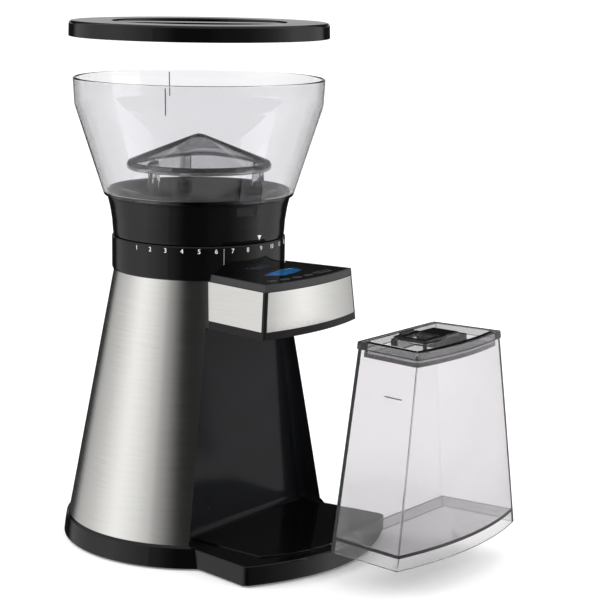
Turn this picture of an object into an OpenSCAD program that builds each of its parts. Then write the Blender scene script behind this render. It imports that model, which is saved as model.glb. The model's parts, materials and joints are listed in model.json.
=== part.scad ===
// Conical burr coffee grinder with a lift-off hopper lid and a removable grounds chamber.
// Origin: centre of the round base on the table. +Z is up and the machine faces -Y.

/* [Body] */
// Height of the round base above the table
base_top = 19.5; // [18:0.5:22]
// Radius of the round base at the table
base_r = 112.9; // [111:0.1:116]
// Height of the front plate that carries the grounds chamber
plate_top = 17.5; // [16:0.5:18]
// Height where the steel cone ends and the scale ring begins
body_top = 227; // [220:1:235]
// Radius of the steel cone at its lower edge
body_r_low = 108.5; // [106:0.1:109]
// Radius of the steel cone at its upper edge
body_r_high = 70; // [69:0.1:71]
// Thickness of the steel sheet
steel_t = 1; // [0.6:0.1:1.2]

/* [Bay and head] */
// Distance of the bay's back wall in front of the axis
bay_back = 46; // [44:1:48]
// Half width of the bay at the base
bay_w_low = 86; // [85:0.5:87]
// Half width of the bay at its roof
bay_w_high = 54; // [53:0.5:55]
// Height of the head's underside
head_low = 189.8; // [188:0.1:192]
// Height of the head's control surface
head_top = 232.5; // [231:0.1:234]

/* [Hopper] */
// Outer radius of the hopper's rim
hopper_r = 103; // [101:0.5:103]
// Height of the hopper's rim
hopper_top = 383.5; // [375:0.5:392]
// Height where the hopper's funnel turns into its straight band
hopper_knee = 361.5; // [355:0.5:365]
// Height of the joint between collar and hopper
collar_top = 288; // [287:0.5:289]
// How far the lid is held above its seat
lid_lift = 41.2; // [20:0.1:60]

/* [Grounds chamber] */
// Height of the chamber with its lid
chamber_h = 164; // [160:0.5:165]
// Height of the chamber's foot when it stands in the bay
chamber_dock = 19; // [18.8:0.1:19.5]
// How far the chamber is drawn out of the bay: sideways, forwards and up
chamber_out = [36, -126, 8]; // [-130:1:40]
// Wall of the clear mouldings
clear_t = 2.5; // [2:0.1:3]

/* [Drive] */
// Depth of the motor's axis behind the burr axis
motor_y = 44.12; // [44:0.01:44.2]
// Place of the compound gear's axle
compound_at = [18, 24]; // [10:1:30]
// Teeth of the motor pinion
pinion_teeth = 9; // [9:1:9]
// Teeth of the compound gear's large and small wheels
compound_teeth = [45, 12]; // [12:1:45]
// Teeth of the burr shaft's gear
output_teeth = 36; // [36:1:36]

/* [Hidden] */
$fn = 96;

foot_h = 1.5;
cover_t = 2;
gap = 0.3;
slip = 0.05;
far = 400;

// The steel cone's radius at a height
function body_r(z) = body_r_low + (body_r_high - body_r_low) * (z - base_top) / (body_top - base_top);

steel = [0.78, 0.78, 0.77];
black = [0.09, 0.09, 0.10];
satin = [0.16, 0.16, 0.17];
clear = [0.75, 0.76, 0.78, 0.35];
nylon = [0.88, 0.87, 0.82];
brass = [0.72, 0.60, 0.32];
board = [0.10, 0.35, 0.20];

// ---------- shared shapes ----------

module disc(r, z0, z1) {
    translate([0, 0, z0]) cylinder(r = r, h = z1 - z0, $fn = 180);
}

module tube(r_out, r_in, z0, z1) {
    difference() {
        disc(r_out, z0, z1);
        disc(r_in, z0 - 1, z1 + 1);
    }
}

module box(low, high) {
    translate(low) cube(high - low);
}

// A round stack from an outline of [radius, height] points
module turned(points) {
    rotate_extrude($fn = 180) polygon(points);
}

// The cone of the body, moved inwards by inset
module body_cone(inset, z0, z1) {
    translate([0, 0, z0])
        cylinder(r1 = body_r(z0) - inset, r2 = body_r(z1) - inset, h = z1 - z0, $fn = 240);
}

// Everything nearer the middle than two walls that lean and flare, mirrored about X = 0.
// low is the half width at height z0 and depth y0.
module between_walls(low, y0, z0, lean, flare) {
    intersection_for(side = [0, 1]) {
        mirror([side, 0, 0])
            translate([low, y0, z0])
                rotate([0, -lean, 0])
                    rotate([0, 0, flare])
                        box([-2 * far, -far, -far], [0, far, far]);
    }
}

// ---------- base ----------

// Plan of the front plate, moved inwards by inset
module plate_plan(inset) {
    intersection() {
        translate([0, 9]) circle(r = 166 - inset, $fn = 240);
        polygon([[78.2 - inset, -20], [100 - inset, -170], [inset - 100, -170], [inset - 78.2, -20]]);
    }
}

module base_solid(inset, z0, round_top, front_top) {
    translate([0, 0, z0]) linear_extrude(front_top - z0) plate_plan(inset);
    turned([[0, z0], [base_r - inset, z0], [base_r - 1.4 - inset, z0 + (round_top - z0) * 0.58],
        [base_r - 2.7 - inset, round_top - 2], [base_r - 4.2 - inset, round_top], [0, round_top]]);
}

// The flat recess and plate of the underside
module base_flat(inset, z0, z1) {
    translate([0, 0, z0]) linear_extrude(z1 - z0) {
        plate_plan(inset);
        circle(r = base_r - inset, $fn = 180);
    }
}

screw_spots = [[-70, -95], [70, -95], [-60, 60], [60, 60]];
foot_spots = [[-78, -112], [78, -112], [-82, 40], [82, 40], [0, 92], [0, 0]];

module base_shell() color(black) difference() {
    union() {
        difference() {
            base_solid(0, foot_h, base_top, plate_top);
            base_flat(2, foot_h - 1, foot_h + cover_t + 0.2);
            base_solid(4, foot_h, 15.5, 14.5);
        }
        for (p = screw_spots) translate([p.x, p.y, foot_h + cover_t + 0.2]) cylinder(r = 4, h = 12.3);
    }
    bay_block(0, plate_top);
    for (p = screw_spots) translate([p.x, p.y, 0]) cylinder(r = 1.5, h = 12.5);
    translate([44, 52, 0]) cylinder(r = 9, h = 40);
    translate([0, 100, 10.5]) rotate([-90, 0, 0]) cylinder(r = 5.1, h = 20);
}

module bay_tray() color(black) difference() {
    intersection() {
        translate([0, -36.5, plate_top]) cylinder(r = 110, h = 1.1, $fn = 240);
        box([-67, -160, 0], [67, -52, 40]);
    }
    for (x = [-30, 30]) translate([x, -68, plate_top - 1]) cylinder(r = 2.2, h = 4);
}

module bottom_cover() color(satin) difference() {
    base_flat(2.3, foot_h, foot_h + cover_t);
    for (p = screw_spots) {
        translate([p.x, p.y, 0]) cylinder(r = 1.7, h = 6);
        translate([p.x, p.y, 0]) cylinder(r = 3.3, h = foot_h + 1.2);
    }
    for (p = foot_spots) translate([p.x, p.y, 0]) cylinder(r = 3.1, h = 6);
    for (i = [-3:3]) box([i * 9 - 2, 20, 0], [i * 9 + 2, 52, 6]);
}

module rubber_feet() color(satin) for (p = foot_spots) translate([p.x, p.y, 0]) {
    cylinder(r1 = 7.6, r2 = 8.2, h = foot_h);
    translate([0, 0, foot_h]) cylinder(r = 3, h = cover_t);
}

module base_screws() color(steel) for (p = screw_spots) translate([p.x, p.y, foot_h + 0.1]) {
    difference() {
        cylinder(r = 3.1, h = 1.1);
        translate([0, 0, -1]) cylinder(r = 1.3, h = 1.6, $fn = 6);
    }
    cylinder(r = 1.4, h = 9.6);
}

module cord_inlet() color(black) translate([0, 0, 10.5]) rotate([-90, 0, 0]) difference() {
    union() {
        translate([0, 0, 106.5]) cylinder(r = 5, h = 6.5);
        translate([0, 0, 112.9]) cylinder(r = 6.5, h = 1.6);
    }
    translate([0, 0, 100]) cylinder(r = 3.6, h = 20);
}

// ---------- body ----------

// The space of the bay behind the head, grown by grow, from a height z0 up
module bay_block(grow, z0) {
    intersection() {
        box([-far, -far, z0], [far, grow - bay_back, head_low + grow]);
        between_walls(bay_w_low + grow, 0, base_top,
            atan((bay_w_low - bay_w_high) / (head_low - base_top)), 0);
    }
}

// Passage for the grounds chute through the bay's roof
module chute_hole() {
    box([-13.5, -86.5, 180], [13.5, -60, 205]);
}

module body_shell() color(steel) difference() {
    body_cone(0, base_top, body_top);
    body_cone(steel_t, base_top - 1, body_top + 1);
    bay_block(0, base_top - 1);
    box([-34, -far, 196], [34, -40, 225]);
    chute_hole();
}

module bay_liner() color(satin) difference() {
    intersection() {
        bay_block(2.5, base_top);
        body_cone(steel_t + 0.2, base_top, head_low + 3);
    }
    bay_block(0, base_top - 1);
    translate([-37, 0, 35.4]) rotate([90, 0, 0]) cylinder(r = 2.1, h = 60);
    chute_hole();
}

module frame_posts() color(steel) for (x = [-54, 54]) translate([x, 22, base_top]) difference() {
    cylinder(r = 5, h = 222 - base_top);
    translate([0, 0, 222 - base_top - 14]) cylinder(r = 1.5, h = 20);
}

module chassis_deck() color(satin) difference() {
    disc(68.6, 222, body_top);
    disc(15, 220, 240);
    box([-15, -80, 220], [15, -40, 240]);
    for (x = [-54, 54]) translate([x, 22, 220]) cylinder(r = 1.7, h = 20);
    translate([30, -38, 220]) cylinder(r = 8, h = 20);
}

module deck_screws() color(steel) for (x = [-54, 54]) translate([x, 22, 0]) {
    translate([0, 0, 211]) cylinder(r = 1.4, h = 16);
    translate([0, 0, body_top]) cylinder(r = 3.2, h = 2.2);
}

// ---------- head ----------

pin_turn = 206;
head_flare = 7.26;
head_lean = 6.4;
front_y = 88.5;

module head_sides(inset) {
    between_walls(60.3 - inset, -119.2, head_low, head_lean, head_flare);
}

// The bowed front's radius at a height
function front_r(z) = 216.3 - 3.5 * (z - head_low) / (head_top - head_low);

module head_front(inset, z0, z1) {
    translate([0, front_y, z0])
        cylinder(r1 = front_r(z0) - inset, r2 = front_r(z1) - inset, h = z1 - z0, $fn = 360);
}

// The head's outer form in front of the body
module head_form(inset, z0, z1) {
    difference() {
        intersection() {
            head_sides(inset);
            head_front(inset, z0, z1);
            box([-far, -150, z0], [far, -40, z1]);
        }
        body_cone(-0.05, base_top, body_top);
        disc(72, body_top - 0.5, 260);
    }
}

module head_frame() color(black) difference() {
    union() {
        head_form(0, head_low, 195.5);
        head_form(1.1, 195.5, 226.8);
        difference() {
            head_form(0, 195.5, 226.8);
            head_front(2.5, 190, 230);
            head_sides(2.3);
        }
    }
    head_form(3.6, 192.8, 230);
    chute_hole();
    box([-30, -64, 193.5], [30, -40, 224]);
}

module side_panel() color(steel) difference() {
    intersection() {
        head_form(0, 195.7, 226.4);
        head_front(2.8, 190, 230);
        box([0, -150, 190], [far, 0, 230]);
    }
    head_sides(1);
}

module side_panel_left() mirror([1, 0, 0]) side_panel();

module side_panel_right() side_panel();

module front_panel() color(steel) intersection() {
    difference() {
        head_form(0, 195.7, 226.4);
        head_front(1, 190, 230);
    }
    head_sides(2.6);
}

lens_low = [-27, -98];
lens_high = [27, -78];
button_x = [-37, -23, -9, 5];
button_size = [9, 5];
start_x = 25;
start_size = [20, 6];
function button_y(x) = -111.5 + 0.0023 * x * x;

module button_hole(x, size, grow) {
    translate([x, button_y(x), 0])
        box([-size.x / 2 - grow, -size.y / 2 - grow, 220], [size.x / 2 + grow, size.y / 2 + grow, 240]);
}

module console() color(black) difference() {
    union() {
        head_form(0, 226.8, 231);
        head_form(1, 231, head_top);
    }
    head_form(3.6, 226, 229.5);
    box([lens_low.x, lens_low.y, 220], [lens_high.x, lens_high.y, 240]);
    for (x = button_x) button_hole(x, button_size, 0.3);
    button_hole(start_x, start_size, 0.3);
}

module display_lens() color([0.25, 0.55, 0.80, 0.6])
    box([lens_low.x + 0.1, lens_low.y + 0.1, 230.6], [lens_high.x - 0.1, lens_high.y - 0.1, head_top]);

module lcd_module() color([0.3, 0.6, 0.85])
    box([lens_low.x + 1, lens_low.y + 1, 223.6], [lens_high.x - 1, lens_high.y - 1, 230.4]);

module control_board() color(board) union() {
    box([-42, -115, 222], [42, -77, 223.6]);
    for (x = [-37, 37]) translate([x, -82, 223.6]) cylinder(r = 1.8, h = 5.9);
}

module push_button(x, size) color(satin) translate([x, button_y(x), 0]) {
    box([-size.x / 2, -size.y / 2, 226], [size.x / 2, size.y / 2, head_top + 0.5]);
    translate([0, 0, 225.2]) cylinder(r = 1.5, h = 1);
}

module button_1() push_button(button_x[0], button_size);

module button_2() push_button(button_x[1], button_size);

module button_3() push_button(button_x[2], button_size);

module button_4() push_button(button_x[3], button_size);

module start_button() push_button(start_x, start_size);

// ---------- motor and gears ----------

// Outline point of one tooth: half angles of root, flank and tip
function tooth(n, m, i) = let (r = n * m / 2, p = 360 / n, a = i * p) [
    [r - 1.2 * m, a - 0.30 * p], [r, a - 0.225 * p], [r + 0.85 * m, a - 0.10 * p],
    [r + 0.85 * m, a + 0.10 * p], [r, a + 0.225 * p], [r - 1.2 * m, a + 0.30 * p]];

function gear_points(n, m) = [for (i = [0:n - 1]) for (q = tooth(n, m, i)) q[0] * [cos(q[1]), sin(q[1])]];

module gear(n, m, z0, z1) {
    translate([0, 0, z0]) linear_extrude(z1 - z0) polygon(gear_points(n, m));
}

// Direction angles of the two meshes, used to set a tooth against a gap
to_compound = atan2(compound_at.y, compound_at.x);
to_motor = atan2(motor_y - compound_at.y, -compound_at.x);
small_turn = to_compound + 180;

module at_motor() translate([0, motor_y, 0]) children();

module at_compound() translate([compound_at.x, compound_at.y, 0]) children();

module power_board() color(board) union() {
    box([-40, -41, 60], [-2, -39.4, 130]);
    box([-34, -39.4, 70], [-20, -27, 92]);
    translate([-11, -39.4, 108]) rotate([-90, 0, 0]) cylinder(r = 6, h = 14);
    for (x = [-36, -6], z = [64, 126])
        translate([x, -43.5, z]) rotate([-90, 0, 0]) cylinder(r = 2, h = 2.5);
}

module motor_can() color(steel) at_motor() difference() {
    union() {
        disc(28, 108, 190);
        disc(9, 104, 108);
    }
    disc(25.5, 110.5, 187.5);
    disc(2 + slip, 100, 200);
    for (a = [0:60:300]) rotate(a) translate([18, 0, 100]) cylinder(r = 4, h = 15);
}

module motor_mounts() color(satin) at_motor() tube(20, 10, 190, 193);

module motor_rotor() color(steel) at_motor() {
    disc(2, 92, 216);
    disc(20, 122, 176);
    disc(10, 176, 184);
}

module motor_pinion() color(steel) at_motor() difference() {
    rotate(to_motor + 180 + 180 / pinion_teeth) gear(pinion_teeth, 1, 207.5, 215.5);
    disc(2.02, 200, 220);
}

module cooling_fan() color(satin) at_motor() {
    tube(6, 2.02, 94, 102);
    for (a = [0:45:315]) rotate(a) translate([5.8, 0, 94]) rotate([35, 0, 0]) cube([17, 1.5, 8]);
}

module gearbox_plan(inset) {
    circle(r = 29 - inset, $fn = 180);
    translate(compound_at) circle(r = 29.5 - inset, $fn = 180);
    translate([0, motor_y]) circle(r = 16 - inset, $fn = 120);
}

module gearbox_case() color(satin) difference() {
    union() {
        difference() {
            translate([0, 0, 193]) linear_extrude(24) gearbox_plan(0);
            translate([0, 0, 196]) linear_extrude(24) gearbox_plan(2.5);
        }
        disc(11, 195, 199);
    }
    disc(8.05, 194, 200);
    disc(5.5, 190, 200);
    at_motor() disc(4, 190, 200);
    at_compound() disc(3.02, 190, 200);
}

module gearbox_cover() color(satin) difference() {
    union() {
        translate([0, 0, 217]) linear_extrude(4.8) gearbox_plan(0);
        disc(14.5, 217, body_top);
    }
    disc(11.05, 210, 226);
    disc(6, 210, 240);
}

module compound_pin() color(steel) at_compound() disc(3, 193.2, 216.8);

module compound_gear() color(nylon) at_compound() difference() {
    union() {
        rotate(to_motor) gear(compound_teeth[0], 1, 208, 215);
        rotate(small_turn + 180 / compound_teeth[1]) gear(compound_teeth[1], 1.25, 199.4, 212);
    }
    disc(3 + slip, 190, 220);
}

module output_gear() color(nylon) difference() {
    rotate(to_compound) gear(output_teeth, 1.25, 199.6, 206.6);
    disc(4.02, 190, 220);
}

module burr_shaft() color(steel) {
    disc(4, 193.6, 270);
    tube(6, 3.9, 206.6, 209);
}

module lower_bearing() color(brass) tube(8, 4 + slip, 194, 199);

module upper_bearing() color(steel) tube(11, 4 + slip, 219, 226);

// ---------- burrs ----------

module grind_housing() color(satin) difference() {
    union() {
        disc(43.5, body_top, 260);
        disc(46, body_top, 230);
    }
    disc(41, 230, 270);
    disc(6, 220, 240);
    box([-11.3, -60, 230.5], [11.3, -30, 243]);
    box([-13.2, -60, 226], [13.2, -44.1, 231]);
}

module sweep_paddle() color(satin) {
    tube(9, 4.02, 231, 238);
    for (a = [0:60:300]) rotate(a) box([8.8, -1, 231], [38, 1, 237]);
}

module cone_burr() color(steel) difference() {
    translate([0, 0, 239]) cylinder(r1 = 24, r2 = 11, h = 25);
    disc(4.02, 230, 270);
    for (a = [0:30:330]) rotate(a) translate([24.4, 0, 236]) rotate([12, -27, 0])
        rotate(45) cube([2.4, 2.4, 40]);
}

module shaft_nut() color(brass) difference() {
    translate([0, 0, 264]) cylinder(r = 7, h = 5, $fn = 6);
    disc(4.02, 260, 280);
}

module ring_burr() color(steel) difference() {
    disc(32.98, 244, 266);
    translate([0, 0, 243]) cylinder(r1 = 23.4, r2 = 20.5, h = 24);
    for (a = [0:15:345]) rotate(a) translate([23.2, 0, 242]) rotate([0, -7, 0]) cylinder(r = 0.9, h = 26);
}

module burr_carrier() color(satin) difference() {
    union() {
        disc(40.7, 244, 266);
        disc(48, 262.8, 266);
        for (a = [30, 150, 270]) rotate(a) box([43, -5, 265], [47.5, 5, 274]);
    }
    disc(33, 240, 280);
}

module grounds_chute() color(satin) difference() {
    translate([12.8, 0, 0]) rotate([90, 0, -90]) linear_extrude(25.6)
        polygon([[44.2, 244], [57, 244], [65, 221], [84.6, 218],
            [84.6, 190.6], [62.6, 190.6], [62.6, 204], [44.2, 228.5]]);
    translate([11, 0, 0]) rotate([90, 0, -90]) linear_extrude(22)
        polygon([[40, 242.2], [55.6, 242.2], [63.8, 219.2], [82.8, 216.2], [82.8, 180], [64.4, 180],
            [64.4, 204.6], [46, 230.2], [40, 230.2]]);
}

// ---------- hopper ----------

module scale_ring() color(black) difference() {
    turned([[66, body_top], [71.2, body_top], [71.7, body_top + 1.5],
        [71.7, 253.4], [71.2, 254.5], [66, 254.5]]);
    rotate(pin_turn) {
        box([60, -2.5, 237], [70.4, 2.5, 250]);
        translate([68.6, 0, 240]) cylinder(r = 1.7, h = 20);
    }
}

module collar() color(black) {
    turned([[62, 268], [66, 268], [66, 254.9], [70.4, 254.9], [71, 258], [71.4, 266], [72.6, 275],
        [74.2, 283], [75.1, 287], [75.1, collar_top], [66.3, collar_top], [66.3, 284], [62, 284]]);
}

module hopper() color(clear) {
    turned([[66.5, collar_top], [78, collar_top], [78.8, 289], [78.8, 290.5], [101.9, hopper_knee],
        [hopper_r, hopper_top], [hopper_r - 2.6, hopper_top], [101.9 - clear_t - 0.2, hopper_knee + 0.4],
        [76, 291], [66.5, 291]]);
}

leg_angles = [-65, 55, 175];
leg_r = 50;

module hopper_spout() color(black) tube(24, 21.5, 270, 278.4);

module hopper_floor() color(black) union() {
    turned([[24, 277], [60.4, 287.9], [66.1, 287.9], [66.1, 291.1], [75, 291.1], [75, 293], [65, 293],
        [24, 280.4]]);
    for (a = leg_angles) rotate(a) translate([leg_r, 0, 285.5]) cylinder(r = 6.5, h = 7.5);
}

module hopper_guard() color(clear) {
    turned([[0, 338], [60, 314], [60, 309.5], [57, 309.5], [57, 312.5], [0, 335.4]]);
    for (a = leg_angles) rotate(a) difference() {
        translate([leg_r, 0, 293]) cylinder(r1 = 5.2, r2 = 4.6, h = 24.5);
        turned([[0, 338], [60, 314], [80, 314], [80, 360], [0, 360]]);
    }
}

module hopper_lid() color(black) {
    seat = hopper_top + lid_lift;
    turned([[73, seat + 0.3], [103.8, seat + 0.3], [103.8, seat - 7.7], [106.2, seat - 7.7],
        [106.2, seat + 2.8], [104.8, seat + 4.3], [71, seat + 4.3], [71, seat - 5.7],
        [0, seat - 5.7], [0, seat - 8.2], [73, seat - 8.2]]);
    rotate(-49) intersection() {
        box([-80, -11, seat - 5.7], [80, 11, seat + 3.6]);
        disc(71, 300, 500);
    }
}

// ---------- interlocks ----------

module chamber_pin() color(satin) translate([-37, 0, 35.4]) rotate([-90, 0, 0]) {
    translate([0, 0, -bay_back + 0.4]) cylinder(r = 2, h = 7.6);
    translate([0, 0, -bay_back + 3.4]) cylinder(r = 3.4, h = 1.4);
}

module chamber_switch() color(satin) union() {
    box([-44, -36.8, 28], [-30, -28, 43]);
    box([-42, -34, base_top], [-32, -30, 28]);
}

module hopper_pin() color(satin) rotate(pin_turn) {
    translate([68.6, 0, 240.5]) cylinder(r = 1.6, h = 13.9);
    box([60.5, -2, 240.5], [69.6, 2, 243]);
}

module hopper_switch() color(satin) rotate(pin_turn) {
    box([52, -5, body_top], [64, 5, 238]);
    translate([61.5, 0, 238]) cylinder(r = 1, h = 1.6);
}

// ---------- grounds chamber, drawn standing in the bay and then moved out ----------

chamber_z1 = chamber_dock + chamber_h;

// The chamber's bowed front: its radius at a height, about a line far behind it
function chamber_r(z) = 300 - (z - chamber_dock) * 10.2 / chamber_h;

module chamber_form(inset, z0, z1) {
    intersection() {
        between_walls(84 - inset, -115, chamber_dock, 9.2, 5.1);
        translate([0, 173, z0])
            cylinder(r1 = chamber_r(z0) - inset, r2 = chamber_r(z1) - inset, h = z1 - z0, $fn = 360);
        translate([0, -48 - inset, chamber_dock])
            rotate([1.4, 0, 0]) box([-far, -far, -20], [far, 0, far]);
        box([-far, -200, z0], [far, 0, z1]);
    }
}

module chamber_body() color(clear) translate(chamber_out) difference() {
    chamber_form(0, chamber_dock, chamber_z1 - 6);
    chamber_form(clear_t, chamber_dock - 1, chamber_dock + 9);
    chamber_form(clear_t, chamber_dock + 11.5, chamber_z1);
}

inlet_y = [-89, -59];
inlet_x = 15;
shutter_travel = 24;
shutter_seat = 2.5;
lid_rim_h = 5.9;
plug_h = 12;
plug_t = 2;
plug_inset = clear_t + 1.4;
lid_floor_t = 2.6;

// A dish: its rim stands on the body, its floor hangs low, and a block under the shutter reaches up to it
module chamber_lid() color(clear) translate(chamber_out) difference() {
    union() {
        difference() {
            union() {
                chamber_form(-0.8, chamber_z1 - lid_rim_h, chamber_z1);
                chamber_form(plug_inset, chamber_z1 - plug_h, chamber_z1 - lid_rim_h);
            }
            chamber_form(plug_inset + plug_t, chamber_z1 - plug_h + lid_floor_t, chamber_z1 + 1);
        }
        box([-inlet_x - 2, inlet_y[0] - 2, chamber_z1 - plug_h + 1],
            [inlet_x + shutter_travel + 2, inlet_y[1] + 2, chamber_z1 - shutter_seat - 0.1]);
    }
    box([-inlet_x + 3, inlet_y[0] + 3, 160], [inlet_x - 3, inlet_y[1] - 3, 190]);
}

module inlet_shutter() color(black) translate(chamber_out + [0, 0, chamber_z1 - shutter_seat]) difference() {
    union() {
        box([-inlet_x, inlet_y[0], 0], [inlet_x, inlet_y[1], 2]);
        box([inlet_x, inlet_y[0] + 3, 0], [inlet_x + shutter_travel - 3, inlet_y[1] - 3, 1.6]);
        box([-9, inlet_y[1] - 3, 2], [9, inlet_y[1] - 0.5, 4.4]);
    }
    box([-inlet_x + 4, inlet_y[0] + 4, -1], [inlet_x - 4, inlet_y[1] - 8, 4]);
}

// ---------- assembly ----------

base_shell();
bay_tray();
bottom_cover();
rubber_feet();
base_screws();
cord_inlet();
body_shell();
bay_liner();
frame_posts();
chassis_deck();
deck_screws();
head_frame();
side_panel_left();
side_panel_right();
front_panel();
console();
display_lens();
lcd_module();
control_board();
button_1();
button_2();
button_3();
button_4();
start_button();
power_board();
motor_can();
motor_mounts();
motor_rotor();
motor_pinion();
cooling_fan();
gearbox_case();
gearbox_cover();
compound_pin();
compound_gear();
output_gear();
burr_shaft();
lower_bearing();
upper_bearing();
grind_housing();
sweep_paddle();
cone_burr();
shaft_nut();
ring_burr();
burr_carrier();
grounds_chute();
scale_ring();
collar();
hopper();
hopper_spout();
hopper_floor();
hopper_guard();
hopper_lid();
chamber_pin();
chamber_switch();
hopper_pin();
hopper_switch();
chamber_body();
chamber_lid();
inlet_shutter();
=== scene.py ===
# %% [markdown]
# # A conical burr coffee grinder
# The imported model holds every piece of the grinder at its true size. This lesson dresses it: each outer
# moulding and pressing is modelled again with soft edges, seams and markings, and every inner piece gets
# the finish of its real material. The places that pieces share are read from the frame, and the small
# shapes are typed in millimetres, as on a drawing.

# %% The frame
import json
import math

import bpy
from mathutils import Matrix, Vector


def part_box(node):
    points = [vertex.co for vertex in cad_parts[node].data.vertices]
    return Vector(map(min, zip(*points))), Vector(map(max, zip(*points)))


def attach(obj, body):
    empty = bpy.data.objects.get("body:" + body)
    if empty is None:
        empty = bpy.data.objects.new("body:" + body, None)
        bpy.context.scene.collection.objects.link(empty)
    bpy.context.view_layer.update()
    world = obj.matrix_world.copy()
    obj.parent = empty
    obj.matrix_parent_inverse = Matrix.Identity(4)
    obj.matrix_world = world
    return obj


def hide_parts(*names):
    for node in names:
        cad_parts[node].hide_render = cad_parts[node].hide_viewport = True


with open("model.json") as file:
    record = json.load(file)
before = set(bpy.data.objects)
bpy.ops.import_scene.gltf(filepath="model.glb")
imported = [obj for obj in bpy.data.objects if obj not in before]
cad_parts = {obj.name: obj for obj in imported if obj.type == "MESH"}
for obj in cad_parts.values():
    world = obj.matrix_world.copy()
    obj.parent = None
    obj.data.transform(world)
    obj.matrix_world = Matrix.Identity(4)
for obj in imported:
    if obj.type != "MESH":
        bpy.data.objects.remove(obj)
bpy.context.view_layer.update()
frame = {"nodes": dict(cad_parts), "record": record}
scene = bpy.context.scene
MM = 0.001

# %% [markdown]
# Heights and radii are read from the nodes, so the looks follow the design. Millimetres are used for
# everything that is typed in, because that is how a drawing of the machine would give it.

# %% Measures from the frame


def low(node, axis=2):
    """A node's lowest place along an axis, in mm."""
    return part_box(node)[0][axis] / MM


def high(node, axis=2):
    """A node's highest place along an axis, in mm."""
    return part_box(node)[1][axis] / MM


base_top = low("body_shell")
body_top = high("body_shell")
body_r_high = 70.0  # its lower edge is the wider one, so the node's box can't give this
body_r_low = high("body_shell", 0)
head_low = low("head_frame")
head_top = high("console")
ring_low = low("scale_ring")
ring_top = high("scale_ring")
ring_r = high("scale_ring", 0)
collar_low = low("collar")
collar_top = high("collar")
hopper_top = high("hopper")
hopper_r = high("hopper", 0)
lid_top = high("hopper_lid")
lid_r = high("hopper_lid", 0)
print("steel cone", body_r_low, "to", body_r_high, "mm; rim", hopper_r, "mm at", round(hopper_top, 1))

# %% [markdown]
# The camera stands at the machine's left front, a metre and a half from the burr axis and a little above
# the hopper. A long lens keeps the tall body from leaning. It looks slightly past the axis, because the
# drawn-out chamber takes up the right of the view.

# %% Camera
camera_azimuth = math.radians(-48.91)
camera_distance = 1504.9
camera_height = 483.7
camera_pan = math.radians(3.234)
camera_tilt = math.radians(10.706)
camera_roll = math.radians(0.881)

lens = bpy.data.cameras.new("camera")
lens.lens = 109.77
lens.sensor_width = 36
camera = bpy.data.objects.new("camera", lens)
scene.collection.objects.link(camera)
stand = Vector(
    (camera_distance * math.sin(camera_azimuth), -camera_distance * math.cos(camera_azimuth), camera_height)
)
camera.matrix_world = (
    Matrix.Translation(stand * MM)
    @ Matrix.Rotation(camera_azimuth - camera_pan, 4, "Z")
    @ Matrix.Rotation(math.pi / 2 - camera_tilt, 4, "X")
    @ Matrix.Rotation(camera_roll, 4, "Z")
)
scene.camera = camera
print("camera at", [round(v) for v in camera.matrix_world.translation / MM], "mm")

# %% [markdown]
# Colours are written as the hex values a designer would pick and are turned to linear light by one
# function. A second small function adds a shader node with its settings and its links, which keeps every
# finish below down to a few lines.

# %% Colour and node helpers


def linear(hex_colour):
    """An sRGB hex colour as linear RGBA."""
    channels = [int(hex_colour[i : i + 2], 16) / 255 for i in (1, 3, 5)]
    return [c / 12.92 if c <= 0.04045 else ((c + 0.055) / 1.055) ** 2.4 for c in channels] + [1.0]


def add_node(tree, kind, inputs=None, **settings):
    """Adds a node, sets its settings, and fills its sockets with values or with links."""
    made = tree.nodes.new(kind)
    for name, value in settings.items():
        setattr(made, name, value)
    for socket, value in (inputs or {}).items():
        if isinstance(value, bpy.types.NodeSocket):
            tree.links.new(value, made.inputs[socket])
        else:
            made.inputs[socket].default_value = value
    return made


print("black plastic #141416 is", [round(c, 4) for c in linear("#141416")[:3]], "in linear light")

# %% [markdown]
# Polished metal and gloss plastic show their surroundings, so the studio is painted on the world: a big
# soft box at the left, another at the right, and darkness between and behind them. Those are what give
# the cone its bright band and its dark edges. Each stop is a bearing in degrees round the machine,
# counter-clockwise from +X, with the brightness there.

# %% Soft boxes painted round the machine
studio = bpy.data.worlds.new("studio")
scene.world = studio
studio.use_nodes = True
tree = studio.node_tree
tree.nodes.clear()
direction = add_node(tree, "ShaderNodeTexCoord").outputs["Generated"]
radial = add_node(tree, "ShaderNodeTexGradient", {"Vector": direction}, gradient_type="RADIAL")
compass = radial.outputs["Fac"]


def grey_ramp(value, stops):
    """Turns a value into a grey that runs through (place, brightness) stops."""
    made = add_node(tree, "ShaderNodeValToRGB", {"Fac": value})
    elements = made.color_ramp.elements
    while len(elements) < len(stops):
        elements.new(0.5)
    for stop, (place, brightness) in zip(elements, stops):
        stop.position = place
        stop.color = (brightness, brightness, brightness, 1)
    return made.outputs["Color"]


boxes = [
    (186, 0.44), (197, 0.12), (203, 0.008), (228, 0.016), (238, 0.10), (262, 0.16), (284, 0.55),
    (311, 1.50), (331, 0.95), (349, 0.68), (357, 0.42), (362, 0.02), (437, 0.02), (448, 0.58),
    (475, 0.84), (504, 1.42), (522, 1.15), (534, 0.82),
]
soft_boxes = grey_ramp(compass, sorted(((bearing - 180) / 360, brightness) for bearing, brightness in boxes))
print("soft boxes painted with", len(boxes), "stops")

# %% [markdown]
# Two things more are painted. The wall behind the machine glows faintly just above the horizon, which only
# the flat top of the lid shows. A soft box overhead draws the thin bright lines along upper edges.

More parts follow.
